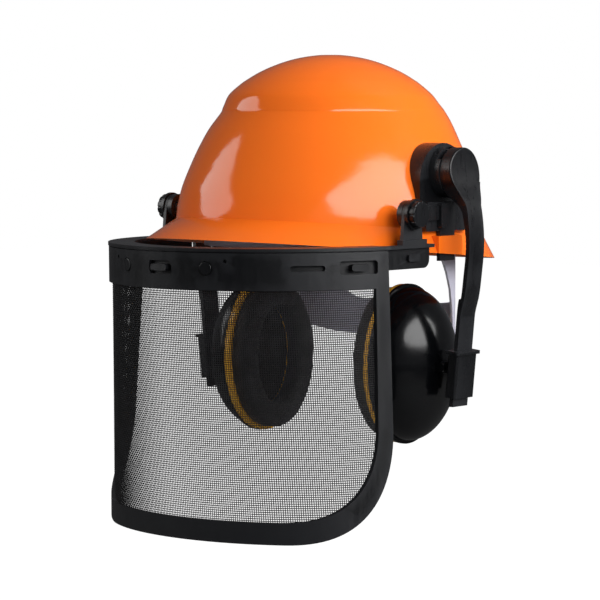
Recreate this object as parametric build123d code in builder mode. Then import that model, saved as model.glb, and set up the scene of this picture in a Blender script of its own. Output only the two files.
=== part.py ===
from build123d import *
import os
from math import cos, radians, sin

os.makedirs("parts", exist_ok=True)

# X points to the wearer's left, Y to the back, Z up; the brim's lower edge is at Z 0 over the ears

# Shell
shell_half_width = 101
shell_half_length = 122
shell_wall = 2.6
crown_base = 99
brim_pitch = 4.63
brim_rise = 16
brim_half_width = 108
brim_half_length = 146.5
brim_shift = -8.5

# Gaps between pieces
gap = 0.3
running = 0.05

# Suspension
head_half_width = 80
head_half_length = 100
band_wall = 1.8
eyelet_radius = 2.5
cradle_wall = 1.6
cradle_width = 24
cradle_half_width = 92
cradle_half_length = 112
cradle_foot = 10
cradle_top = 106

# Side adapters and visor bars
adapter_face = 100.3
adapter_block_face = 106
boss_face = 109
tongue_width = 17
tongue_thick = 2.6
visor_pivot_y = -47
visor_pivot_z = 29
pivot_pin_radius = 3

# Visor
visor_half_width = 114
visor_reach = 122
visor_middle = -60
visor_flare = 13
visor_draw_in = 17
visor_wall = 2.5
visor_rear = -77
visor_bottom = -190
band_top = 5.4
band_bottom = -19.5
carrier_wall = 2.6
carrier_top = 8.4
rim_side = 12
rim_bottom = 15
mesh_thick = 0.6

# Ear defenders
swing_y = 2
swing_z = 57
hub_radius = 18
hub_depth = 8.2
arm_width = 17
arm_thick = 3.2
spread_x = 103
spread_z = 70.5
cup_half_width = 41
cup_half_height = 54.5
cup_depth = 32
cup_z = -79
cup_wall = 2.5
cup_rim_x = 69
cushion_thick = 14

brim_plane = Plane.XY.rotated((-brim_pitch, 0, 0))


# One oval section of the shell: height over the ears, size, shift to the back and forward pitch
def oval_section(inset, height, share, back, pitch):
    with BuildSketch(Plane(origin=(0, back, height)).rotated((-pitch, 0, 0))) as section:
        Ellipse(shell_half_width * share - inset, shell_half_length * share - inset)
    return section.sketch


# The dome's solid form, drawn in by a distance, with the brim's flare below it
def dome_form(inset):
    with BuildSketch(Plane(origin=(0, brim_shift, 0.7 - inset * 0.7)).rotated((-brim_pitch, 0, 0))) as lip:
        Ellipse(brim_half_width - inset * 0.6, brim_half_length - inset * 0.6)
    waist = oval_section(inset, brim_rise - inset * 0.5, 1.003, 0, brim_pitch)
    with BuildPart() as dome:
        loft([lip.sketch, waist], ruled=True)
        loft([
            waist,
            oval_section(inset, 24, 0.998, 0.6, 4.2),
            oval_section(inset, 35, 0.985, 1.4, 3.6),
            oval_section(inset, 45, 0.962, 1.9, 3.0),
            oval_section(inset, 54, 0.933, 2.1, 2.5),
            oval_section(inset, 62, 0.904, 2.0, 2.0),
            oval_section(inset, 71, 0.868, 1.9, 1.5),
            oval_section(inset, 80, 0.829, 2.0, 1.0),
            oval_section(inset, 88, 0.791, 2.5, 0.5),
            oval_section(inset, crown_base - inset * 0.4, 0.727, 3.4, 0),
        ])
    return dome.part


# The raised crown: a step at the front that runs smoothly into the dome at the back
def crown_form(inset):
    with BuildPart() as crown:
        loft([
            oval_section(inset, crown_base - inset * 0.4, 0.727, 3.4, 0),
            oval_section(inset, crown_base + 3.5 - inset * 0.45, 0.709, 2.2, 0),
            oval_section(inset, crown_base + 7.5 - inset * 0.5, 0.688, 1.1, 0),
            oval_section(inset, crown_base + 11 - inset * 0.55, 0.667, 0.4, 0),
            oval_section(inset, crown_base + 13.6 - inset * 0.6, 0.645, 0.1, 0),
            oval_section(inset * 0.75, crown_base + 17.6 - inset * 0.7, 0.603, 0, 0),
            oval_section(inset * 0.7, crown_base + 22 - inset * 0.8, 0.549, 0, 0),
            oval_section(inset * 0.6, crown_base + 26.4 - inset * 0.85, 0.484, 0, 0),
            oval_section(inset * 0.5, crown_base + 30.8 - inset * 0.9, 0.403, 0, 0),
            oval_section(inset * 0.4, crown_base + 34.7 - inset * 0.95, 0.311, 0, 0),
            oval_section(inset * 0.25, crown_base + 37.5 - inset, 0.22, 0, 0),
            oval_section(inset * 0.1, crown_base + 39.3 - inset, 0.125, 0, 0),
            oval_section(0, crown_base + 40 - inset, 0.03, 0, 0),
        ])
    return crown.part


# Everything above the brim's lower edge, less a distance
def above_brim(lower):
    with BuildPart() as block:
        with BuildSketch(brim_plane.offset(lower)):
            Rectangle(420, 420)
        extrude(amount=260)
    return block.part


with BuildPart() as shell:
    add(dome_form(0))
    add(crown_form(0))
    for side in (-1, 1):
        # Slot boss over each ear
        with BuildSketch(Plane.XY.offset(-6)):
            with Locations((side * (boss_face - 6), -2)):
                Rectangle(12, 27)
        extrude(amount=19)
    add(above_brim(0), mode=Mode.INTERSECT)
    add(dome_form(shell_wall), mode=Mode.SUBTRACT)
    add(crown_form(shell_wall), mode=Mode.SUBTRACT)
    for side in (-1, 1):
        # Walls of the slot, and the slot itself
        with BuildSketch(Plane.XY.offset(2)):
            with Locations((side * 102.4, -2)):
                Rectangle(9, 25)
        extrude(amount=10)
        with BuildSketch(Plane.XY.offset(-10)):
            with Locations((side * (adapter_block_face - 1.4), -2)):
                Rectangle(tongue_thick + 2 * gap, tongue_width + 2 * gap)
        extrude(amount=30, mode=Mode.SUBTRACT)
shell.part.label = "shell"

# The cradle's solid form, drawn in by a distance: a low oval dome clear of the crown
def cradle_form(inset):
    with BuildPart() as form:
        ovals = []
        for turn in (0, 18, 34, 48, 60, 70, 78, 84, 88.5):
            rise = (cradle_top - cradle_foot - inset) * sin(radians(turn))
            with BuildSketch(Plane.XY.offset(cradle_foot + rise)) as section:
                Ellipse(
                    (cradle_half_width - inset) * cos(radians(turn)),
                    (cradle_half_length - inset) * cos(radians(turn)),
                )
            ovals.append(section.sketch)
        loft(ovals)
    return form.part


# Crown cradle: crossed straps that stand clear of the crown
strap_angle = 50.4
with BuildPart() as cradle:
    with BuildSketch(Plane.XY.offset(cradle_foot)):
        for turn in (strap_angle, -strap_angle):
            Rectangle(300, cradle_width, rotation=turn)
        Circle(30)
    extrude(amount=110)
    add(cradle_form(0), mode=Mode.INTERSECT)
    add(cradle_form(cradle_wall), mode=Mode.SUBTRACT)
cradle.part.label = "crown_cradle"

# Four keys between the cradle's ends and the shell's rim
lining = dome_form(shell_wall + gap)
key_spots = [(side * 58.5, end * 70.8) for end in (-1, 1) for side in (-1, 1)]
keys = []
for number, (key_x, key_y) in enumerate(key_spots, start=1):
    turn = strap_angle if key_x * key_y > 0 else -strap_angle
    with BuildPart() as key:
        with BuildSketch(Plane.XY.offset(12)):
            with Locations((key_x, key_y)):
                Rectangle(44, 20, rotation=turn)
        extrude(amount=20)
        add(lining, mode=Mode.INTERSECT)
        add(cradle_form(-gap), mode=Mode.SUBTRACT)
    key.part.label = f"hanger_key_{number}"
    keys.append(key.part)


# A ring of the headband's plan, between two distances from the head
def head_ring(near, far, low, high):
    with BuildPart() as ring:
        with BuildSketch(Plane.XY.offset(low)):
            Ellipse(head_half_width + far, head_half_length + far)
            Ellipse(head_half_width + near, head_half_length + near, mode=Mode.SUBTRACT)
        extrude(amount=high - low)
    return ring.part


# Headband with its low nape strap and four lugs that meet the cradle
with BuildPart() as headband:
    add(head_ring(0, band_wall, -80, 50))
    with BuildSketch(Plane.YZ):
        with BuildLine():
            Polyline(
                (-112, 5), (10, 3), (28, -4), (38, -16), (46, -28), (51, -42), (54, -60),
                (76, -67), (112, -71), (112, -46), (84, -41), (70, -26), (66, -6),
                (68, 33), (-112, 34), (-112, 5),
            )
        make_face()
        corners = [v for v in vertices() if abs(v.X) < 100]
        fillet(corners, 4)
    extrude(amount=150, both=True, mode=Mode.INTERSECT)
    for place in range(-4, 5):
        # Pin holes along the nape strap
        if abs(place) > 2:
            turn = 90 + place * 6.5
            hole_x = head_half_width * cos(radians(turn))
            with Locations(Location((hole_x, head_half_length * sin(radians(turn)), -58), (90, 0, 0))):
                Cylinder(1.6, 40, mode=Mode.SUBTRACT)
    with BuildSketch(Plane.XY.offset(13)):
        for turn in (strap_angle, -strap_angle):
            Rectangle(300, 13, rotation=turn)
        Ellipse(head_half_width + 9.3, head_half_length + 9.3, mode=Mode.INTERSECT)
        Ellipse(head_half_width + 0.6, head_half_length + 0.6, mode=Mode.SUBTRACT)
    extrude(amount=11)
    # Eyelets for a chin strap
    with Locations(Location((0, 0, 11), (0, 90, 0))):
        Cylinder(eyelet_radius, 200, mode=Mode.SUBTRACT)
headband.part.label = "headband"

# Brow pad inside the front of the headband
with BuildPart() as brow_pad:
    add(head_ring(-3.4, -0.1, 7, 31))
    with BuildSketch(Plane.XY):
        with Locations((0, -75)):
            Rectangle(220, 90)
    extrude(amount=60, mode=Mode.INTERSECT)
brow_pad.part.label = "brow_pad"

# Pin-lock buckle around the middle of the nape strap
with BuildPart() as nape_lock:
    with BuildSketch(Plane.XY.offset(-75)):
        with Locations((0, head_half_length + 0.4)):
            Rectangle(44, 9)
        Ellipse(head_half_width + band_wall + 0.2, head_half_length + band_wall + 0.2, mode=Mode.SUBTRACT)
    extrude(amount=32.5)
    with BuildSketch(Plane.XY.offset(-75)):
        with Locations((0, head_half_length - 1.2)):
            Rectangle(44, 8)
        Ellipse(head_half_width - 0.2, head_half_length - 0.2, mode=Mode.INTERSECT)
    extrude(amount=32.5)
    with BuildSketch(Plane.XZ.offset(-head_half_length - 8)):
        with Locations((0, -58.7)):
            RectangleRounded(38, 32, 5)
    extrude(amount=18, mode=Mode.INTERSECT)
nape_lock.part.label = "nape_lock"

# Side adapter: a tall rounded plate that follows the dome, its block, tongue and swing shaft
with BuildPart() as adapter:
    with BuildSketch(Plane.YZ.offset(70)):
        with BuildLine():
            Line((-26, 15), (-26, 50))
            TangentArc((-26, 50), (1, 77), tangent=(0, 1))
            TangentArc((1, 77), (28, 50), tangent=(1, 0))
            Line((28, 50), (28, 15))
            Line((28, 15), (-26, 15))
        make_face()
    extrude(amount=adapter_face - 70)
    with BuildSketch(Plane.YZ.offset(70)):
        with Locations((1, 26)):
            RectangleRounded(54, 21, 3)
    extrude(amount=adapter_block_face - 70)
    add(dome_form(-gap), mode=Mode.SUBTRACT)
    with BuildSketch(Plane.YZ.offset(70)):
        with Locations((1, 10)):
            Rectangle(70, 12.6)
    extrude(amount=60, mode=Mode.SUBTRACT)
    # Tongue down through the slot boss
    with BuildSketch(Plane.XY.offset(-4.5)):
        with Locations((adapter_block_face - 1.4, -2)):
            Rectangle(tongue_thick, tongue_width)
    extrude(amount=24)
    # Swing shaft and its screw hole
    with BuildSketch(Plane.YZ.offset(adapter_face - 3)):
        with Locations((swing_y, swing_z)):
            Circle(6)
    extrude(amount=9.6)
    with BuildSketch(Plane.YZ.offset(adapter_face)):
        with Locations((swing_y, swing_z)):
            Circle(2)
    extrude(amount=10, mode=Mode.SUBTRACT)

# Bar from the adapter's clip forward to the visor's pivot
with BuildPart() as visor_bar:
    with BuildSketch(Plane.YZ.offset(104)):
        with Locations((visor_pivot_y, visor_pivot_z)):
            Circle(9.5)
        with Locations(((visor_pivot_y - 27) / 2, visor_pivot_z)):
            Rectangle(-27 - visor_pivot_y, 10)
    extrude(amount=4.1)
    with BuildSketch(Plane.YZ.offset(adapter_block_face + 0.05)):
        with Locations(((visor_pivot_y - 4) / 2 + 10, visor_pivot_z)):
            Rectangle(-4 - visor_pivot_y - 20, 10)
    extrude(amount=2.05)
    with BuildSketch(Plane.YZ.offset(adapter_block_face + 0.05)):
        with Locations((-9, visor_pivot_z - 2)):
            RectangleRounded(10, 17, 1.5)
    extrude(amount=4)
    with BuildSketch(Plane.YZ.offset(90)):
        with Locations((visor_pivot_y, visor_pivot_z)):
            Circle(pivot_pin_radius + 0.02)
    extrude(amount=30, mode=Mode.SUBTRACT)

# Pin the visor turns on, headed on the inner side of the bar
with BuildPart() as pivot_pin:
    with BuildSketch(Plane.YZ.offset(101.9)):
        with Locations((visor_pivot_y, visor_pivot_z)):
            Circle(5.5)
    extrude(amount=2)
    with BuildSketch(Plane.YZ.offset(103)):
        with Locations((visor_pivot_y, visor_pivot_z)):
            Circle(pivot_pin_radius)
    extrude(amount=12.6)


# The visor's solid form drawn in by a distance: elliptical, wider and shallower toward the bottom
def visor_form(inset, low, high):
    with BuildPart() as form:
        with BuildSketch(Plane.XY.offset(carrier_top)):
            with Locations((0, visor_middle)):
                Ellipse(visor_half_width - inset, visor_reach - inset)
        with BuildSketch(Plane.XY.offset(visor_bottom)):
            with Locations((0, visor_middle)):
                Ellipse(visor_half_width + visor_flare - inset, visor_reach - visor_draw_in - inset)
        loft(ruled=True)
        with BuildSketch(Plane.XY.offset(low)):
            Rectangle(400, 500)
        extrude(amount=high - low, mode=Mode.INTERSECT)
    return form.part


# The visor sheet's outline from the side, drawn in along the rear edge and the bottom
def visor_outline(rear_inset, bottom_inset, top):
    with BuildPart() as cutter:
        with BuildSketch(Plane.YZ):
            with BuildLine():
                corner_y = visor_rear - 66
                corner_z = visor_bottom + 78
                rear = visor_rear - rear_inset
                low = visor_bottom + bottom_inset
                Line((rear, top), (rear - 3, corner_z))
                EllipticalCenterArc(
                    (corner_y, corner_z), rear - 3 - corner_y, corner_z - low, 270, arc_size=90
                )
                Line((corner_y, low), (-260, low))
                Line((-260, low), (-260, top))
                Line((-260, top), (rear, top))
            make_face()
        extrude(amount=200, both=True)
    return cutter.part


# A plane on the visor's outer face, looking outward; the angle runs from the wearer's left
def on_visor(angle, height):
    share = (carrier_top - height) / (carrier_top - visor_bottom)
    across = visor_half_width + visor_flare * share
    reach = visor_reach - visor_draw_in * share
    x = across * cos(radians(angle))
    y = visor_middle - reach * sin(radians(angle))
    outward = Vector(cos(radians(angle)) / across, -sin(radians(angle)) / reach, 0).normalized()
    return Plane(origin=(x, y, height), x_dir=Vector(-outward.Y, outward.X, 0), z_dir=outward)


# Brow guard: band, top flange, side rails and lugs
flange_width = 18
with BuildPart() as carrier:
    add(visor_form(visor_wall + gap, -15.5, carrier_top))
    add(visor_form(visor_wall + gap + carrier_wall, -15.5, carrier_top), mode=Mode.SUBTRACT)
    with BuildPart(mode=Mode.PRIVATE) as flange:
        add(visor_form(-0.4, carrier_top - 2.4, carrier_top))
        add(visor_form(flange_width, carrier_top - 3, carrier_top + 1), mode=Mode.SUBTRACT)
    add(flange.part)
    with BuildSketch(Plane.XY.offset(-30)):
        with Locations((0, 142 + visor_rear)):
            Rectangle(400, 280)
    extrude(amount=60, mode=Mode.SUBTRACT)
    for side in (-1, 1):
        with BuildSketch(Plane.YZ.offset(side * 109.7)) as rail:
            with Locations(((visor_rear + gap - 29) / 2, 0.2)):
                Rectangle(-29 - visor_rear - gap, 16.4)
            fillet(rail.vertices().group_by(Axis.X)[-1].sort_by(Axis.Y)[0], 6)
        extrude(amount=1.3, both=True)
        # The top flange runs on along the rail, with a step under the lug
        with BuildSketch(Plane.YZ.offset(side * 108.4)):
            with Locations(((visor_rear + gap - 26) / 2, carrier_top - 1.2)):
                Rectangle(-26 - visor_rear - gap, 2.4)
            with Locations((-48, carrier_top + 1.5)):
                Rectangle(27, 4)
        extrude(amount=side * 4.9)
        with BuildSketch(Plane.YZ.offset(side * 109.7)):
            with BuildLine():
                Polyline((-59, 6), (-36.5, 6), (-37.5, 29), (-56.5, 29), (-59, 6))
            make_face()
            with Locations((visor_pivot_y, visor_pivot_z)):
                Circle(9.5)
        extrude(amount=1.3, both=True)
        with BuildSketch(Plane.YZ.offset(side * 90)):
            with Locations((visor_pivot_y, visor_pivot_z)):
                Circle(pivot_pin_radius + running)
        extrude(amount=side * 40, mode=Mode.SUBTRACT)
        # Raised peg on each rail
        with BuildSketch(Plane.YZ.offset(side * 110.5)):
            with Locations((-48, -0.5)):
                RectangleRounded(13, 5, 2)
        extrude(amount=side * 2.6)
    with BuildSketch(Plane.XY.offset(-30)):
        with Locations((0, brim_shift)):
            Ellipse(brim_half_width + 0.5, brim_half_length + 3)
        with Locations((0, 72)):
            Rectangle(2 * 108.4, 260)
    extrude(amount=90, mode=Mode.SUBTRACT)
    for angle in (20, 90, 160):
        # Pegs that stand out through the frame's slots
        with BuildSketch(on_visor(angle, -5).offset(-visor_wall - 1.2)):
            RectangleRounded(14, 4.6, 2)
        extrude(amount=visor_wall + 3)
carrier.part.label = "visor_carrier"

# Visor frame: slotted top band and the rounded rim around the mesh
with BuildPart() as frame:
    add(visor_form(0, visor_bottom, band_top))
    add(visor_form(visor_wall, visor_bottom, band_top), mode=Mode.SUBTRACT)
    add(visor_outline(0, 0, band_top + 1), mode=Mode.INTERSECT)
    add(visor_outline(rim_side, rim_bottom, band_bottom), mode=Mode.SUBTRACT)
    for angle, length, height in ((20, 30, 9), (38, 24, 4), (90, 20, 9), (142, 24, 4), (160, 30, 9)):
        with BuildSketch(on_visor(angle, -5).offset(-8)):
            RectangleRounded(length, height, 1.9)
        extrude(amount=12, mode=Mode.SUBTRACT)
    for angle in (72, 108):
        with BuildSketch(on_visor(angle, -5).offset(-8)):
            Circle(2.6)
        extrude(amount=12, mode=Mode.SUBTRACT)
        with BuildSketch(on_visor(angle, -5).offset(-1.2)):
            Circle(4.8)
        extrude(amount=4, mode=Mode.SUBTRACT)
    for angle in (65, 115):
        with BuildSketch(on_visor(angle, 0).offset(-8)):
            Circle(1.3)
        extrude(amount=12, mode=Mode.SUBTRACT)
frame.part.label = "visor_frame"

# Mesh: a thin sheet held against the inner face of the rim
with BuildPart() as mesh:
    add(visor_form(visor_wall + 0.05, visor_bottom, band_bottom + 3))
    add(visor_form(visor_wall + 0.05 + mesh_thick, visor_bottom, band_bottom + 3), mode=Mode.SUBTRACT)
    add(visor_outline(rim_side / 3, rim_bottom / 3, band_bottom + 3.4), mode=Mode.INTERSECT)
mesh.part.label = "visor_mesh"

# Snap studs in the band's round recesses
studs = []
for angle in (72, 108):
    with BuildPart() as stud:
        with BuildSketch(on_visor(angle, -5).offset(-visor_wall + gap)):
            Circle(2.4)
        extrude(amount=visor_wall - 1)
        with BuildSketch(on_visor(angle, -5).offset(-1.1)):
            Circle(4.4)
        extrude(amount=1.5)
        fillet(stud.edges().filter_by(GeomType.CIRCLE).sort_by(Axis.Y)[0], 0.5)
    studs.append(stud.part)
stud_set = Compound(label="visor_studs", children=studs)

# Knob over each visor pivot: a collar and a thicker grip
with BuildPart() as knob:
    with BuildSketch(Plane.YZ.offset(111.05)):
        with Locations((visor_pivot_y, visor_pivot_z)):
            Circle(10.5)
    extrude(amount=2.6)
    with BuildSketch(Plane.YZ.offset(113.65)):
        with Locations((visor_pivot_y, visor_pivot_z)):
            Circle(9.3)
            with PolarLocations(9.9, 12):
                Circle(1.1, mode=Mode.SUBTRACT)
    extrude(amount=4.6)
    fillet(knob.faces().sort_by(Axis.X)[-1].edges(), 0.8)
    with BuildSketch(Plane.YZ.offset(110)):
        with Locations((visor_pivot_y, visor_pivot_z)):
            Circle(pivot_pin_radius + running)
    extrude(amount=6, mode=Mode.SUBTRACT)

# Swing hub: a drum on the adapter's shaft with a notch and ears for the spread pin
hub_start = adapter_face + gap
hub_face = hub_start + hub_depth
with BuildPart() as hub:
    with BuildSketch(Plane.YZ.offset(hub_start)):
        with Locations((swing_y, swing_z)):
            Circle(hub_radius)
    extrude(amount=hub_depth)
    with BuildSketch(Plane.YZ.offset(spread_x + 2.5)):
        with Locations((swing_y, 76)):
            Rectangle(60, 20)
    extrude(amount=20, mode=Mode.SUBTRACT)
    with BuildSketch(Plane.YZ.offset(90)):
        with Locations((swing_y, 77)):
            Rectangle(10.6, 20)
    extrude(amount=30, mode=Mode.SUBTRACT)
    with BuildSketch(Plane.YZ.offset(90)):
        with Locations((swing_y, swing_z)):
            Circle(6 + running)
    extrude(amount=30, mode=Mode.SUBTRACT)
    with BuildSketch(Plane.YZ.offset(hub_face - 2.1)):
        with Locations((swing_y, swing_z)):
            Circle(8.6)
    extrude(amount=10, mode=Mode.SUBTRACT)
    with BuildSketch(Plane.XZ.offset(-swing_y)):
        with Locations((spread_x, spread_z)):
            Circle(1.5)
    extrude(amount=20, both=True, mode=Mode.SUBTRACT)

# Screw that keeps the hub on its shaft
with BuildPart() as hub_screw:
    with BuildSketch(Plane.YZ.offset(adapter_face + 1)):
        with Locations((swing_y, swing_z)):
            Circle(1.95)
    extrude(amount=7)
    with BuildSketch(Plane.YZ.offset(adapter_face + 6.65)):
        with Locations((swing_y, swing_z)):
            Circle(8.2)
    extrude(amount=1.4)

# Pin the arm spreads on
with BuildPart() as spread_pin:
    with BuildSketch(Plane.XZ.offset(-swing_y)):
        with Locations((spread_x, spread_z)):
            Circle(1.5 - 0.02)
    extrude(amount=9.6, both=True)

# Arm: round head, bowed strap and straight foot, hung on the spread pin by a knuckle
foot_top = (120.8, -44)
foot_end = (114.6, -106)
arm_face = hub_face + gap
with BuildPart() as arm:
    with BuildSketch(Plane.YZ.offset(80)):
        with Locations((swing_y, swing_z)):
            Circle(hub_radius - 1)
        with BuildLine():
            Polyline(
                (swing_y - 15.5, 50),
                (swing_y - arm_width / 2, 34),
                (swing_y - arm_width / 2, foot_end[1]),
                (swing_y + arm_width / 2, foot_end[1]),
                (swing_y + arm_width / 2, 34),
                (swing_y + 15.5, 50),
                (swing_y - 15.5, 50),
            )
        make_face()
    extrude(amount=80)
    with BuildSketch(Plane.XZ):
        with BuildLine():
            Polyline((arm_face, 74), (arm_face, 45), (arm_face + 3, 41))
            Spline(
                (arm_face + 3, 41), (120.6, 32), (123.8, 22), (125.4, 5),
                (123.4, -15), (120.8, -31), (foot_top[0] - arm_thick, foot_top[1]),
                tangents=((0.8, -1), (-0.1, -1)),
            )
            Line((foot_top[0] - arm_thick, foot_top[1]), (foot_end[0] - arm_thick, foot_end[1]))
            Line((foot_end[0] - arm_thick, foot_end[1]), foot_end)
            Line(foot_end, foot_top)
            Spline(
                foot_top, (124, -31), (126.6, -15), (128.6, 5),
                (127.6, 24), (124.6, 38), (120.4, 48), (118, 60), (117.4, 74),
                tangents=((0.1, 1), (0, 1)),
            )
            Line((117.4, 74), (arm_face, 74))
        make_face()
    extrude(amount=60, both=True, mode=Mode.INTERSECT)
    fillet(arm.edges().filter_by_position(Axis.X, 117, 119).sort_by(Axis.Z)[-1], 1)
    # Knuckle in the hub's notch
    with BuildSketch(Plane.XZ.offset(-swing_y)):
        with Locations((spread_x, spread_z)):
            Circle(2.3)
        with Locations(((spread_x + arm_face + 1) / 2, spread_z)):
            Rectangle(arm_face + 1 - spread_x, 3.6)
    extrude(amount=5, both=True)
    with BuildSketch(Plane.XZ.offset(-swing_y)):
        with Locations((spread_x, spread_z)):
            Circle(1.5 + running)
    extrude(amount=20, both=True, mode=Mode.SUBTRACT)

# Slider: a flanged sleeve on the arm's foot, with a bore for the yoke's stud
foot_long = (Vector(*foot_top) - Vector(*foot_end)).length
foot_run = Vector(foot_end[0] - foot_top[0], 0, foot_end[1] - foot_top[1]).normalized()
foot_side = Vector(-foot_run.Z, 0, foot_run.X)
foot_middle = Vector(foot_top[0], swing_y, foot_top[1]) - foot_side * (arm_thick / 2)
foot_plane = Plane(origin=foot_middle, x_dir=(0, 1, 0), z_dir=foot_run)
with BuildPart() as slider:
    with BuildSketch(foot_plane.offset(25)):
        RectangleRounded(arm_width + 6, arm_thick + 5.6, 2)
    extrude(amount=31)
    with BuildSketch(foot_plane.offset(23)):
        RectangleRounded(arm_width + 10, arm_thick + 9, 2.5)
    extrude(amount=2.2)
    with BuildSketch(foot_plane.offset(20)):
        Rectangle(arm_width + 2 * gap, arm_thick + 2 * gap)
    extrude(amount=50, mode=Mode.SUBTRACT)
    with BuildSketch(Plane.YZ.offset(100)):
        with Locations((swing_y, cup_z)):
            Circle(3.5 + running)
    extrude(amount=13.9, mode=Mode.SUBTRACT)

# Yoke: a small block that swivels in the slider and carries the cup's tilt pin
tilt_x = 104.6
with BuildPart() as yoke:
    with BuildSketch(Plane.YZ.offset(tilt_x - 2.2)):
        with Locations((swing_y, cup_z)):
            RectangleRounded(13, 8, 1)
    extrude(amount=6)
    with BuildSketch(Plane.YZ.offset(tilt_x + 3)):
        with Locations((swing_y, cup_z)):
            Circle(3.5)
    extrude(amount=5.7)
    with BuildSketch(Plane.XZ.offset(-swing_y)):
        with Locations((tilt_x, cup_z)):
            Circle(1.5 + running)
    extrude(amount=20, both=True, mode=Mode.SUBTRACT)


# The cup's solid form drawn in by a distance: half an ellipsoid on an oval base
def cup_form(inset):
    with BuildPart() as form:
        ovals = []
        for turn in (-1, 12, 25, 37, 48, 58, 67, 75, 81, 86, 89):
            share = cos(radians(turn))
            depth = (cup_depth - inset) * sin(radians(turn))
            with BuildSketch(Plane.YZ.offset(cup_rim_x + depth)) as section:
                with Locations((swing_y, cup_z)):
                    Ellipse((cup_half_width - inset) * share, (cup_half_height - inset) * share)
            ovals.append(section.sketch)
        loft(ovals)
    return form.part


# An oval slab of the ear cup, between two distances along X
def oval(grow, start, length):
    with BuildPart() as slab:
        with BuildSketch(Plane.YZ.offset(start)):
            with Locations((swing_y, cup_z)):
                Ellipse(cup_half_width + grow, cup_half_height + grow)
        extrude(amount=length)
    return slab.part


# Hard cup with a rim and two lugs that hold the tilt pin
with BuildPart() as cup:
    add(cup_form(0))
    for side in (-1, 1):
        with BuildSketch(Plane.XZ.offset(-swing_y + side * 8.4)):
            with Locations((tilt_x, cup_z)):
                Circle(3.2)
            with Locations((tilt_x - 4, cup_z)):
                Rectangle(8, 6.4)
        extrude(amount=1.3, both=True)
    with BuildSketch(Plane.XZ.offset(-swing_y)):
        with Locations((tilt_x, cup_z)):
            Circle(1.5)
    extrude(amount=8, both=True, mode=Mode.ADD)
    add(cup_form(cup_wall), mode=Mode.SUBTRACT)
    add(oval(2.2, cup_rim_x - 2.4, 2.4))
    add(oval(-cup_wall - 2, cup_rim_x - 3, 6), mode=Mode.SUBTRACT)

# Coloured base ring between cup and cushion
ring_start = cup_rim_x - 2.4 - 0.05 - 4
with BuildPart() as base_ring:
    add(oval(1.8, ring_start, 4))
    add(oval(-17, ring_start - 1, 7), mode=Mode.SUBTRACT)

# Sealing cushion
cushion_start = ring_start - 0.05 - cushion_thick
with BuildPart() as cushion:
    add(oval(-0.8, cushion_start, cushion_thick))
    fillet(cushion.edges(), 5)
    add(oval(-19, cushion_start - 1, cushion_thick + 2), mode=Mode.SUBTRACT)

# Acoustic foam behind the opening
with BuildPart() as foam:
    add(oval(-17.4, ring_start + 0.3, 10))

left_pieces = {
    "adapter": adapter.part,
    "visor_bar": visor_bar.part,
    "pivot_pin": pivot_pin.part,
    "knob": knob.part,
    "hub": hub.part,
    "hub_screw": hub_screw.part,
    "spread_pin": spread_pin.part,
    "arm": arm.part,
    "slider": slider.part,
    "yoke": yoke.part,
    "cup": cup.part,
    "base_ring": base_ring.part,
    "cushion": cushion.part,
    "foam": foam.part,
}

middle_pieces = [
    shell.part,
    cradle.part,
    *keys,
    headband.part,
    brow_pad.part,
    nape_lock.part,
    carrier.part,
    frame.part,
    mesh.part,
    stud_set,
]
for piece in middle_pieces:
    export_step(piece, f"parts/{piece.label}.step")
for name, piece in left_pieces.items():
    other = mirror(piece, about=Plane.YZ)
    piece.label = f"left_{name}"
    other.label = f"right_{name}"
    export_step(piece, f"parts/{piece.label}.step")
    export_step(other, f"parts/{other.label}.step")
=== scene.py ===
import math
import bmesh
import bpy
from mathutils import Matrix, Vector


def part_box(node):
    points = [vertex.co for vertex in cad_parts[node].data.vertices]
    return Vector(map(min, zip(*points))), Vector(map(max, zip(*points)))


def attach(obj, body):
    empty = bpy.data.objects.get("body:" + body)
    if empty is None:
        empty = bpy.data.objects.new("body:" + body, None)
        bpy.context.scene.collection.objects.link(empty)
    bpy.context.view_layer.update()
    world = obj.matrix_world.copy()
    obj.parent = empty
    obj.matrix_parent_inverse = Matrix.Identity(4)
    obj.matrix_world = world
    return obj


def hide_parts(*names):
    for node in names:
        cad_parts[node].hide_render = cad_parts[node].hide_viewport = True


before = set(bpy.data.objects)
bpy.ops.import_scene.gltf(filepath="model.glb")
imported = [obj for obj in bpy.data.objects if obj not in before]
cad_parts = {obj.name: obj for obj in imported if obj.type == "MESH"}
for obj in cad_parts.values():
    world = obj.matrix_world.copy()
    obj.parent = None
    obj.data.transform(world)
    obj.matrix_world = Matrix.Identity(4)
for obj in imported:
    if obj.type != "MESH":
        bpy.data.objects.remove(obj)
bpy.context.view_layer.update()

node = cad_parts

# ---------------------------------------------------------------------------
# Shell: injection-moulded gloss plastic, so it has a faint orange peel, a
# little unevenness in its colour and fine scuffs that only show in highlights.

shell_color = (0.95, 0.17, 0.012, 1)
faded_color = (0.8, 0.12, 0.01, 1)
dust_color = (0.9, 0.62, 0.42, 1)


def put(tree, kind, props=None, **inputs):
    """Adds a shader node; inputs are values, or sockets to link.

    An input goes by its label, or by its number after an underscore.
    """
    made = tree.nodes.new(kind)
    for key, value in (props or {}).items():
        setattr(made, key, value)
    for key, value in inputs.items():
        socket = made.inputs[int(key[1:]) if key[0] == "_" else key.replace("_", " ")]
        if isinstance(value, bpy.types.NodeSocket):
            tree.links.new(value, socket)
        else:
            socket.default_value = value
    return made


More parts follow.
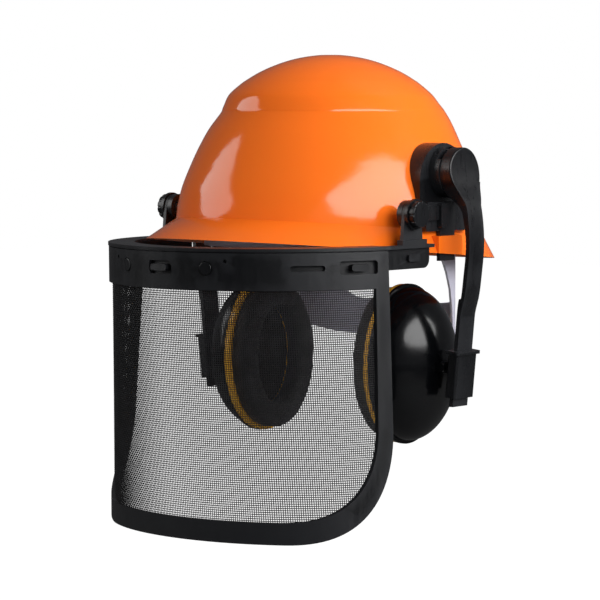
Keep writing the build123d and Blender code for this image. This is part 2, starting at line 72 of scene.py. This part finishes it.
def effect(name, inputs=()):
    """A shader node group that puts out a colour, a roughness and a height.

    Gives the group, its inputs, its end node and the object coordinates.
    """
    group = bpy.data.node_groups.new(name, "ShaderNodeTree")
    for label, kind, value in inputs:
        socket = group.interface.new_socket(name=label, in_out="INPUT", socket_type=kind)
        socket.default_value = value
    for label, kind in (
        ("Base Color", "NodeSocketColor"),
        ("Roughness", "NodeSocketFloat"),
        ("Height", "NodeSocketFloat"),
    ):
        group.interface.new_socket(name=label, in_out="OUTPUT", socket_type=kind)
    start = group.nodes.new("NodeGroupInput")
    end = group.nodes.new("NodeGroupOutput")
    where = group.nodes.new("ShaderNodeTexCoord").outputs["Object"]
    return group, start.outputs, end, where


def join(group, end, **outputs):
    """Links the values to the group's outputs."""
    for key, value in outputs.items():
        group.links.new(value, end.inputs[key.replace("_", " ")])


def noise(group, where, scale, detail, rough=0.5, stretch=None):
    """A noise value over the surface, stretched along an axis if asked."""
    if stretch:
        where = put(group, "ShaderNodeMapping", Vector=where, Scale=stretch).outputs[0]
    made = put(
        group, "ShaderNodeTexNoise",
        Vector=where, Scale=scale, Detail=detail, Roughness=rough,
    )
    return made.outputs[0]


def span(group, value, source, target):
    """Maps a value from its source range onto a target range."""
    made = put(
        group, "ShaderNodeMapRange", Value=value,
        From_Min=source[0], From_Max=source[1], To_Min=target[0], To_Max=target[1],
    )
    return made.outputs[0]


def calc(group, operation, first, second):
    """Adds or multiplies two values."""
    return put(
        group, "ShaderNodeMath", {"operation": operation}, _0=first, _1=second
    ).outputs[0]


def mixed(group, share, first, second):
    """A colour between two others; a mix node's colours are inputs 6 and 7."""
    return put(
        group, "ShaderNodeMix", {"data_type": "RGBA"}, _0=share, _6=first, _7=second
    ).outputs[2]


def finish(name, group, bump, values, settings=None):
    """A material: one Principled BSDF fed by an effect group, with a bump.

    The bump is a strength and a distance, the values are for the BSDF's own
    sockets, and the settings are for the group's.
    """
    material = bpy.data.materials.new(name)
    material.use_nodes = True
    tree = material.node_tree
    shader = tree.nodes["Principled BSDF"]
    made = tree.nodes.new("ShaderNodeGroup")
    made.node_tree = group
    for key, value in (settings or {}).items():
        made.inputs[key].default_value = value
    for key, value in values.items():
        shader.inputs[key].default_value = value
    strength, distance = bump
    bumped = put(
        tree, "ShaderNodeBump",
        Height=made.outputs["Height"], Strength=strength, Distance=distance,
    )
    tree.links.new(bumped.outputs[0], shader.inputs["Normal"])
    for label in ("Base Color", "Roughness"):
        tree.links.new(made.outputs[label], shader.inputs[label])
    return material


def wear(material, *names):
    """The CAD nodes take the material, each in its own slot."""
    for name in names:
        mesh = node[name].data
        mesh.materials.clear()
        mesh.materials.append(material)


shell_effect, given, end, where = effect(
    "moulded gloss", inputs=(("Color", "NodeSocketColor", shell_color),)
)
cloud = noise(shell_effect, where, scale=9.0, detail=2.0)
speck = noise(shell_effect, where, scale=1400.0, detail=1.0)
scuff = noise(
    shell_effect, where, scale=160.0, detail=5.0, rough=0.7, stretch=(1.0, 0.18, 0.35)
)
peel = noise(shell_effect, where, scale=150.0, detail=1.0)
faded = span(shell_effect, cloud, (0.3, 0.7), (0.0, 0.1))
dust = span(shell_effect, speck, (0.74, 0.8), (0.0, 0.12))
shade = mixed(shell_effect, faded, given["Color"], faded_color)
shade = mixed(shell_effect, dust, shade, dust_color)
gloss = calc(
    shell_effect, "ADD",
    span(shell_effect, scuff, (0.55, 0.8), (0.09, 0.22)),
    span(shell_effect, cloud, (0.3, 0.7), (0.0, 0.05)),
)
join(shell_effect, end, Base_Color=shade, Roughness=gloss, Height=peel)

orange = finish(
    "shell orange", shell_effect, (0.12, 0.0006),
    {"IOR": 1.5, "Subsurface Weight": 0.06, "Subsurface Scale": 0.004,
     "Subsurface Radius": (1.0, 0.3, 0.1)},
    {"Color": shell_color},
)
wear(orange, "shell")

# ---------------------------------------------------------------------------
# Harness: cradle, keys and headband, in pale, slightly waxy polyethylene with
# a soft mould texture. The keys push into sockets at the shell's rim.

harness_color = (0.46, 0.45, 0.53, 1)
uneven_color = (0.32, 0.31, 0.37, 1)
scuffed_color = (0.5, 0.5, 0.55, 1)

harness_effect, given, end, where = effect(
    "waxy moulding", inputs=(("Color", "NodeSocketColor", harness_color),)
)
cloud = noise(harness_effect, where, scale=30.0, detail=4.0)
grain = noise(harness_effect, where, scale=900.0, detail=3.0)
marks = noise(
    harness_effect, where, scale=200.0, detail=5.0, rough=0.65, stretch=(0.2, 0.2, 1.0)
)
uneven = span(harness_effect, cloud, (0.35, 0.7), (0.0, 0.35))
scuffed = span(harness_effect, marks, (0.62, 0.8), (0.0, 0.5))
shade = mixed(harness_effect, uneven, given["Color"], uneven_color)
shade = mixed(harness_effect, scuffed, shade, scuffed_color)
join(
    harness_effect, end, Base_Color=shade,
    Roughness=span(harness_effect, marks, (0.3, 0.75), (0.34, 0.55)),
    Height=grain,
)
harness = finish(
    "harness plastic", harness_effect, (0.25, 0.0004),
    {"IOR": 1.5, "Subsurface Weight": 0.15, "Subsurface Scale": 0.003,
     "Subsurface Radius": (1.0, 1.0, 1.0)},
)
wear(harness, "crown_cradle", "headband", *(f"hanger_key_{i}" for i in range(1, 5)))

# ---------------------------------------------------------------------------
# Black fittings: adapters, bars, knobs, hubs, arms, sliders, yokes, brow guard,
# visor frame and nape buckle. Satin moulded plastic with spark-eroded grain,
# paler rubbed edges and a little dust on what faces up.

satin_color = (0.0032, 0.0035, 0.0044, 1)
greyed_color = (0.005, 0.0053, 0.0065, 1)
rubbed_color = (0.022, 0.023, 0.026, 1)
settled_color = (0.035, 0.035, 0.038, 1)
fitting_roughness, visor_roughness = 0.27, 0.34

satin_effect, given, end, where = effect(
    "satin moulding",
    inputs=(
        ("Color", "NodeSocketColor", satin_color),
        ("Least Roughness", "NodeSocketFloat", fitting_roughness),
    ),
)
grain = noise(satin_effect, where, scale=2200.0, detail=2.0)
cloud = noise(satin_effect, where, scale=45.0, detail=4.0)
marks = noise(
    satin_effect, where, scale=300.0, detail=6.0, rough=0.7, stretch=(1.0, 1.0, 0.12)
)
facing = satin_effect.nodes.new("ShaderNodeNewGeometry").outputs
up = put(satin_effect, "ShaderNodeSeparateXYZ", Vector=facing["Normal"]).outputs[2]
greyed = span(satin_effect, cloud, (0.35, 0.7), (0.0, 0.5))
edge = span(satin_effect, facing["Pointiness"], (0.52, 0.6), (0.0, 0.5))
lying = calc(
    satin_effect, "MULTIPLY",
    span(satin_effect, up, (0.5, 1.0), (0.0, 0.25)),
    span(satin_effect, cloud, (0.45, 0.65), (0.2, 1.0)),
)
shade = mixed(satin_effect, greyed, given["Color"], greyed_color)
shade = mixed(satin_effect, edge, shade, rubbed_color)
shade = mixed(satin_effect, lying, shade, settled_color)
rub = calc(
    satin_effect, "ADD",
    given["Least Roughness"],
    span(satin_effect, marks, (0.4, 0.75), (0.0, 0.16)),
)
join(satin_effect, end, Base_Color=shade, Roughness=rub, Height=grain)
satin = finish("black satin", satin_effect, (0.2, 0.0003), {"IOR": 1.5})
frame_black = finish(
    "visor black", satin_effect, (0.2, 0.0003), {"IOR": 1.5},
    {"Least Roughness": visor_roughness},
)
wear(satin, "nape_lock", "visor_studs")
wear(frame_black, "visor_carrier", "visor_frame")
for side in ("left", "right"):
    for piece in ("adapter", "visor_bar", "knob", "hub", "arm", "slider", "yoke"):
        wear(satin, f"{side}_{piece}")

# ---------------------------------------------------------------------------
# Steel: visor pivots, spread pins and hub screws, turned and lightly brushed,
# so their roughness runs in fine lines.

bright_steel, dull_steel = (0.56, 0.56, 0.57, 1), (0.38, 0.38, 0.4, 1)

steel_effect, _, end, where = effect("turned steel")
lines = noise(
    steel_effect, where, scale=700.0, detail=4.0, rough=0.6, stretch=(0.08, 1.0, 1.0)
)
cloud = noise(steel_effect, where, scale=120.0, detail=3.0)
dulled = span(steel_effect, cloud, (0.4, 0.7), (0.0, 1.0))
join(
    steel_effect, end,
    Base_Color=mixed(steel_effect, dulled, bright_steel, dull_steel),
    Roughness=span(steel_effect, lines, (0.3, 0.7), (0.22, 0.42)),
    Height=lines,
)
steel = finish("steel", steel_effect, (0.15, 0.0002), {"Metallic": 1.0})
for side in ("left", "right"):
    wear(steel, f"{side}_pivot_pin", f"{side}_spread_pin", f"{side}_hub_screw")

# ---------------------------------------------------------------------------
# Ear cups: hard shells in deep black gloss with hairline scratches, each on a
# golden base ring moulded in the same gloss plastic as the helmet.

cup_color, hazed_color = (0.0015, 0.0017, 0.0022, 1), (0.0025, 0.0028, 0.0034, 1)
ring_color = (0.95, 0.5, 0.05, 1)

cup_effect, _, end, where = effect("polished cup")
hairs = noise(
    cup_effect, where, scale=260.0, detail=6.0, rough=0.75, stretch=(1.0, 0.1, 0.6)
)
cloud = noise(cup_effect, where, scale=60.0, detail=3.0)
hazed = span(cup_effect, cloud, (0.4, 0.7), (0.0, 1.0))
join(
    cup_effect, end,
    Base_Color=mixed(cup_effect, hazed, cup_color, hazed_color),
    Roughness=span(cup_effect, hairs, (0.5, 0.8), (0.17, 0.28)),
    Height=noise(cup_effect, where, scale=110.0, detail=1.0),
)
cup_black = finish("cup gloss", cup_effect, (0.08, 0.0005), {"IOR": 1.5})
golden = finish(
    "ring golden", shell_effect, (0.15, 0.0005), {"IOR": 1.5}, {"Color": ring_color}
)
for side in ("left", "right"):
    wear(cup_black, f"{side}_cup")
    wear(golden, f"{side}_base_ring")

# ---------------------------------------------------------------------------
# Ear cushions: a vinyl skin over foam, full and round, welded flat at the
# base and drawn into small creases round the inner edge.

vinyl_color, worn_color = (0.01, 0.009, 0.0095, 1), (0.02, 0.0185, 0.019, 1)
cushion_width = 0.0182
round_steps, section_steps = 220, 36
# Powers that fill the section out, sideways and in depth; more so at the base
open_fill, base_fill = (0.72, 0.62), (0.25, 0.3)
inner_dip = 0.05
crease_fine, crease_broad = 0.00042, 0.00032
ripple_slow, ripple_quick = 0.00016, 0.0001

vinyl_effect, _, end, where = effect("vinyl skin")
cells = put(
    vinyl_effect, "ShaderNodeTexVoronoi", {"feature": "DISTANCE_TO_EDGE"},
    Vector=where, Scale=900.0,
).outputs[0]
folds = noise(vinyl_effect, where, scale=130.0, detail=4.0, rough=0.6)
cloud = noise(vinyl_effect, where, scale=25.0, detail=3.0)
worn = span(vinyl_effect, cloud, (0.35, 0.7), (0.0, 1.0))
height = calc(
    vinyl_effect, "ADD",
    span(vinyl_effect, cells, (0.0, 0.25), (0.0, 0.4)),
    span(vinyl_effect, folds, (0.3, 0.7), (0.0, 1.0)),
)
join(
    vinyl_effect, end,
    Base_Color=mixed(vinyl_effect, worn, vinyl_color, worn_color),
    Roughness=span(vinyl_effect, folds, (0.3, 0.7), (0.36, 0.56)),
    Height=height,
)
vinyl = finish(
    "cushion vinyl", vinyl_effect, (0.5, 0.0009), {"IOR": 1.48, "Sheen Weight": 0.1}
)


def show(name, mesh):
    """Puts a mesh into the scene, shaded smoothly."""
    mesh.polygons.foreach_set("use_smooth", [True] * len(mesh.polygons))
    made = bpy.data.objects.new(name, mesh)
    bpy.context.scene.collection.objects.link(made)
    return made


def from_rings(name, rings, closed=False):
    """A skin over rings of points: a closed loop of them, or capped at its ends."""
    mesh = bpy.data.meshes.new(name)
    count = len(rings[0])
    faces = []
    for i in range(len(rings) if closed else len(rings) - 1):
        here, after = i * count, (i + 1) % len(rings) * count
        for j in range(count):
            beside = (j + 1) % count
            faces.append((here + j, here + beside, after + beside, after + j))
    if not closed:
        last = (len(rings) - 1) * count
        faces.append(tuple(range(count))[::-1])
        faces.append(tuple(last + j for j in range(count)))
    mesh.from_pydata([point for ring in rings for point in ring], [], faces)
    shown = bmesh.new()
    shown.from_mesh(mesh)
    bmesh.ops.recalc_face_normals(shown, faces=shown.faces)
    shown.to_mesh(mesh)
    shown.free()
    return show(name, mesh)


def dress(obj, material, body, slot_name, *replaced):
    """Gives a piece its material and body in place of its CAD nodes; slot_name is not used."""
    obj.data.materials.append(material)
    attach(obj, body)
    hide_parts(*replaced)


def seat(name, away):
    """A node's inner and outer X, and its middle and half sizes in Y and Z."""
    low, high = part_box(name)
    inner, outer = (low[0], high[0]) if away > 0 else (high[0], low[0])
    middle = (low[1] + high[1]) / 2, (low[2] + high[2]) / 2
    half = (high[1] - low[1]) / 2, (high[2] - low[2]) / 2
    return inner, outer, *middle, *half


def puffed(value, power):
    """A sine or cosine filled out towards a square."""
    return math.copysign(abs(value) ** power, value)


for side, away in (("left", 1), ("right", -1)):
    inner_x, base_x, mid_y, mid_z, half_y, half_z = seat(f"{side}_cushion", away)
    thick = abs(base_x - inner_x)
    rings = []
    for i in range(round_steps):
        angle = 2 * math.pi * i / round_steps
        out = Vector((0, math.cos(angle) / half_y, math.sin(angle) / half_z)).normalized()
        middle = Vector((
            0,
            mid_y + (half_y - cushion_width / 2) * math.cos(angle),
            mid_z + (half_z - cushion_width / 2) * math.sin(angle),
        ))
        ring = []
        for j in range(section_steps):
            turn = 2 * math.pi * j / section_steps
            across, deep = math.cos(turn), math.sin(turn)
            power_out, power_in = base_fill if deep < 0 else open_fill
            inward = max(0.0, -across)
            # Uneven counts of creases and ripples, so that they never line up
            crease = inward * max(0.0, deep) * (
                crease_fine * math.sin(61 * angle + 1.3 * math.sin(5 * angle))
                + crease_broad * math.sin(37 * angle + 2.0)
            )
            soft = (
                ripple_slow * math.sin(9 * angle + away)
                + ripple_quick * math.sin(17 * angle + 0.7)
            )
            depth = (
                thick / 2 * (1 + puffed(deep, power_in)) * (1 - inner_dip * inward)
                + (crease + soft) * (deep > 0)
            )
            ring.append(
                Vector((base_x - away * min(depth, thick), 0, 0))
                + middle + out * (cushion_width / 2) * puffed(across, power_out)
            )
        rings.append(ring)
    cushion = from_rings(f"{side}_cushion_skin", rings, closed=True)
    dress(cushion, vinyl, f"{side}_ear_cup", "cushion_skin", f"{side}_cushion")

# ---------------------------------------------------------------------------
# Foam: open-cell inserts behind the ear openings, slightly domed, and the
# brow pad, a perforated strip with a stitched hem.

foam_color, pore_color = (0.004, 0.0038, 0.004, 1), (0.02, 0.018, 0.018, 1)
foam_steps = 96
# Share of the half size, and depth behind the front, from the back to the middle
foam_profile = (
    (1.0, 0.0095), (1.0, 0.006), (1.0, 0.0015), (0.995, 0.0006), (0.97, 0.0003),
    (0.9, 0.0002), (0.7, 0.0001), (0.5, 0.0001), (0.25, 0.0), (0.02, 0.0),
)
dent, dented_share = 0.0001, 0.96

foam_effect, _, end, where = effect("open-cell foam")
pores = put(
    foam_effect, "ShaderNodeTexVoronoi", Vector=where, Scale=520.0, Randomness=1.0
).outputs[0]
fine = noise(foam_effect, where, scale=1500.0, detail=2.0)
pore = span(foam_effect, pores, (0.1, 0.6), (0.0, 1.0))
join(
    foam_effect, end,
    Base_Color=mixed(foam_effect, pore, foam_color, pore_color),
    Roughness=span(foam_effect, fine, (0.2, 0.8), (0.85, 1.0)),
    Height=calc(foam_effect, "ADD", pore, calc(foam_effect, "MULTIPLY", fine, 0.4)),
)
foam = finish("ear foam", foam_effect, (0.9, 0.0011), {"IOR": 1.4})
for side, away in (("left", 1), ("right", -1)):
    inner_x, _, mid_y, mid_z, half_y, half_z = seat(f"{side}_foam", away)
    rings = []
    for share, depth in foam_profile:
        ring = []
        for i in range(foam_steps):
            a = 2 * math.pi * i / foam_steps
            dip = dent * (1 + math.sin(3 * a + 40 * share)) * (share < dented_share)
            ring.append(Vector((
                inner_x + away * (depth + dip),
                mid_y + half_y * share * math.cos(a),
                mid_z + half_z * share * math.sin(a),
            )))
        rings.append(ring)
    insert = from_rings(f"{side}_foam_insert", rings)
    dress(insert, foam, f"{side}_ear_cup", "ear_foam", f"{side}_foam")

hole_color, cloth_color = (0.004, 0.004, 0.005, 1), (0.04, 0.04, 0.045, 1)
pad_steps, pad_section = 120, 28
pad_start, pad_sweep = 198, 144
headband_half_width, headband_half_length = 0.08, 0.1
pad_half_width, pad_half_length = 0.0799, 0.0999
pad_middle, pad_half_height, pad_half_thick = 0.019, 0.0118, 0.0016

pad_effect, _, end, where = effect("brow pad cloth")
holes = put(
    pad_effect, "ShaderNodeTexVoronoi", {"feature": "F1"},
    Vector=where, Scale=260.0, Randomness=0.15,
).outputs[0]
fuzz = noise(pad_effect, where, scale=1300.0, detail=4.0)
hole = span(pad_effect, holes, (0.18, 0.3), (0.0, 1.0))
join(
    pad_effect, end,
    Base_Color=mixed(pad_effect, hole, hole_color, cloth_color),
    Roughness=span(pad_effect, fuzz, (0.2, 0.8), (0.8, 1.0)),
    Height=calc(pad_effect, "ADD", hole, calc(pad_effect, "MULTIPLY", fuzz, 0.3)),
)
pad_cloth = finish(
    "brow cloth", pad_effect, (0.7, 0.0008), {"IOR": 1.4, "Sheen Weight": 0.25}
)
rings = []
for i in range(pad_steps + 1):
    # Round the front of the head from one temple to the other
    angle = math.radians(pad_start + pad_sweep * i / pad_steps)
    along, ahead = math.cos(angle), math.sin(angle)
    out = Vector((along / headband_half_width, ahead / headband_half_length, 0)).normalized()
    base = Vector((pad_half_width * along, pad_half_length * ahead, 0))
    taper = min(1.0, 12 * min(i, pad_steps - i) / pad_steps + 0.3)
    ring = []
    for j in range(pad_section):
        turn = 2 * math.pi * j / pad_section
        rise, deep = math.sin(turn), math.cos(turn)
        hem = 0.6 if abs(rise) > 0.93 else 1.0
        quilt = 1 + 0.08 * math.sin(i * 0.9) * math.sin(3 * turn)
        thick = pad_half_thick * taper * hem * quilt
        ring.append(
            base - out * (thick + thick * puffed(deep, 0.5))
            + Vector((0, 0, pad_middle + pad_half_height * puffed(rise, 0.6)))
        )
    rings.append(ring)
brow = from_rings("brow_pad_cloth", rings)
dress(brow, pad_cloth, "helmet", "brow_foam", "brow_pad")

# ---------------------------------------------------------------------------
# Visor mesh: black-coated wire in plain weave, over and under at each
# crossing, let into the rim.

wire_color, coat_color = (0.012, 0.012, 0.013, 1), (0.022, 0.022, 0.024, 1)
nicked_color = (0.08, 0.08, 0.085, 1)
pitch = 0.0015
wire = 0.00031
weave_lift = wire * 0.92
sheet_top, sheet_low = -0.0168, -0.1848
sheet_middle = -0.1
rear_y, rear_lean, lean_height = -0.0812, 0.003, 0.1
corner_y, corner_z = -0.143, -0.112
# The rim's outer face: its top and height, half width and reach, and how much
# the width gains and the reach loses from top to bottom
rim_top, rim_height, rim_y = 0.0084, 0.1984, -0.06
rim_half_width, width_gain = 0.114, 0.013
rim_reach, reach_loss = 0.122, 0.017
sheet_inset = 0.00285
first_angle, last_angle, angle_step = math.radians(6), math.radians(174), 0.001

wire_effect, _, end, where = effect("coated wire")
cloud = noise(wire_effect, where, scale=90.0, detail=4.0)
nick = noise(wire_effect, where, scale=700.0, detail=3.0)
coated = span(wire_effect, cloud, (0.4, 0.7), (0.0, 1.0))
nicked = span(wire_effect, nick, (0.68, 0.76), (0.0, 0.7))
shade = mixed(wire_effect, coated, wire_color, coat_color)
shade = mixed(wire_effect, nicked, shade, nicked_color)
join(
    wire_effect, end, Base_Color=shade,
    Roughness=span(wire_effect, nick, (0.3, 0.7), (0.3, 0.45)),
    Height=nick,
)
wire_black = finish("mesh wire", wire_effect, (0.2, 0.0002), {"IOR": 1.5})


def on_sheet(angle, height, lift=0.0):
    """A point of the visor's middle surface and the way out of it."""
    share = (rim_top - height) / rim_height
    across = rim_half_width + width_gain * share - sheet_inset
    reach = rim_reach - reach_loss * share - sheet_inset
    out = Vector((math.cos(angle) / across, -math.sin(angle) / reach, 0)).normalized()
    point = Vector((across * math.cos(angle), rim_y - reach * math.sin(angle), height))
    return point + out * lift, out


def inside_rim(point):
    """Whether a point lies inside the rim, with its round rear lower corners."""
    y, z = point.y, point.z
    lean = rear_lean * min(1.0, (sheet_top - z) / lean_height)
    if y > rear_y - lean or z < sheet_low:
        return False
    if y > corner_y and z < corner_z:
        back = (y - corner_y) / (rear_y - rear_lean - corner_y)
        down = (z - corner_z) / (sheet_low - corner_z)
        return back ** 2 + down ** 2 < 1
    return True


angles = [first_angle]
while angles[-1] < last_angle:
    here = on_sheet(angles[-1], sheet_middle)[0]
    near = on_sheet(angles[-1] + angle_step, sheet_middle)[0]
    angles.append(angles[-1] + angle_step * pitch / (near - here).length)
heights = [sheet_top - pitch * i for i in range(int((sheet_top - sheet_low) / pitch) + 1)]


def tubes(name, runs):
    """Four-sided wires through runs of (point, sideways, outward)."""
    points, faces = [], []
    for run in runs:
        if len(run) < 3:
            continue
        start = len(points)
        for point, sideways, outward in run:
            points += [
                point + sideways * wire, point + outward * wire,
                point - sideways * wire, point - outward * wire,
            ]
        for i in range(len(run) - 1):
            a = start + 4 * i
            faces += [
                (a + j, a + (j + 1) % 4, a + 4 + (j + 1) % 4, a + 4 + j) for j in range(4)
            ]
        faces.append((start + 3, start + 2, start + 1, start))
        last = start + 4 * (len(run) - 1)
        faces.append((last, last + 1, last + 2, last + 3))
    mesh = bpy.data.meshes.new(name)
    mesh.from_pydata(points, [], faces)
    return show(name, mesh)


def runs_of(lines):
    """Cuts each line of (point, ...) where it leaves the rim."""
    made = []
    for line in lines:
        run = []
        for entry in line:
            if inside_rim(entry[0]):
                run.append(entry)
            elif run:
                made.append(run)
                run = []
        made.append(run)
    return made


upright, level = [], []
for i, angle in enumerate(angles):
    line = []
    for j, height in enumerate(heights):
        sign = 1 if (i + j) % 2 else -1
        point, out = on_sheet(angle, height, sign * weave_lift)
        line.append((point, Vector((-out.y, out.x, 0)), out))
    upright.append(line)
for j, height in enumerate(heights):
    line = []
    for i, angle in enumerate(angles):
        sign = -1 if (i + j) % 2 else 1
        point, out = on_sheet(angle, height, sign * weave_lift)
        line.append((point, Vector((0, 0, 1)), out))
    level.append(line)
half_up, half_level = len(upright) // 2, len(level) // 2
for name, lines in (
    ("mesh_warp_left", upright[:half_up]),
    ("mesh_warp_right", upright[half_up:]),
    ("mesh_weft_upper", level[:half_level]),
    ("mesh_weft_lower", level[half_level:]),
):
    dress(tubes(name, runs_of(lines)), wire_black, "visor", "black_mesh", "visor_mesh")

# ---------------------------------------------------------------------------
# Stage: surroundings and a floor that are white to the camera and dark in
# reflections, and a long lens. A window-like light stands high on the right
# and a strip far on the left; the other lights are left out of reflections.

world = bpy.data.worlds.new("white room")
bpy.context.scene.world = world
world.use_nodes = True
room = world.node_tree
path = room.nodes.new("ShaderNodeLightPath")
tone = mixed(room, path.outputs["Is Camera Ray"], (0.1, 0.1, 0.105, 1), (1.0, 1.0, 1.0, 1))
room.links.new(tone, room.nodes["Background"].inputs["Color"])

floor_white = bpy.data.materials.new("pale floor")
floor_white.use_nodes = True
ground = floor_white.node_tree
paint = ground.nodes["Principled BSDF"]
paint.inputs["Base Color"].default_value = (0.08, 0.08, 0.08, 1)
paint.inputs["Roughness"].default_value = 0.7
paint.inputs["Emission Color"].default_value = (1, 1, 1, 1)
seen = ground.nodes.new("ShaderNodeLightPath")
ground.links.new(seen.outputs["Is Camera Ray"], paint.inputs["Emission Strength"])
floor_half, floor_z = 6, -0.42
floor_mesh = bpy.data.meshes.new("floor")
floor_mesh.from_pydata(
    [(x * floor_half, y * floor_half, floor_z) for x, y in ((-1, -1), (1, -1), (1, 1), (-1, 1))],
    [], [(0, 1, 2, 3)],
)
floor_mesh.materials.append(floor_white)
floor = bpy.data.objects.new("floor", floor_mesh)
bpy.context.scene.collection.objects.link(floor)
bpy.context.scene.view_settings.view_transform = "Standard"

target = Vector((-0.0154, -0.0163, -0.0367))
azimuth, rise = math.radians(40), math.radians(4)
camera_distance = 2.0
toward = Vector((
    math.sin(azimuth) * math.cos(rise), -math.cos(azimuth) * math.cos(rise), math.sin(rise)
))
right = Vector((math.cos(azimuth), math.sin(azimuth), 0))
above = toward.cross(right)
lens = bpy.data.cameras.new("camera")
lens.lens = 166.8
lens.sensor_width = 36
lens.clip_start = 0.01
camera = bpy.data.objects.new("camera", lens)
bpy.context.scene.collection.objects.link(camera)
camera.location = target + toward * camera_distance
camera.rotation_euler = (target - camera.location).to_track_quat("-Z", "Y").to_euler()
bpy.context.scene.camera = camera


def softbox(name, place, size, watts, mirrored=True, shape="RECTANGLE"):
    """An area light that faces the helmet.

    Its place is how far right, up and towards the camera it stands.
    """
    lamp = bpy.data.lights.new(name, "AREA")
    lamp.shape = shape
    lamp.size, lamp.size_y = size
    lamp.energy = watts
    made = bpy.data.objects.new(name, lamp)
    bpy.context.scene.collection.objects.link(made)
    made.location = right * place[0] + above * place[1] + toward * place[2]
    made.rotation_euler = (-made.location).to_track_quat("-Z", "Z").to_euler()
    made.visible_glossy = mirrored
    return made


softbox("window", (1.07, 0.54, 0.8), (0.78, 1.95), 20, shape="ELLIPSE")
softbox("strip", (-1.4, 0.56, 0.0), (0.85, 1.1), 8.5)
softbox("top", (0.9, 1.5, -0.5), (1.2, 0.9), 12, mirrored=False)
softbox("fill", (0.9, 0.1, 2.1), (1.4, 1.2), 22, mirrored=False)
softbox("side", (1.9, 0.7, -0.1), (1.0, 1.2), 22, mirrored=False)
inner = softbox("inner", (-0.55, -0.35, 1.2), (0.7, 0.7), 18, mirrored=False)
lit = bpy.data.collections.new("inner pieces")
for name in ("crown_cradle", "headband", "nape_lock", "left_base_ring", "right_base_ring"):
    lit.objects.link(node[name])
inner.light_linking.receiver_collection = lit
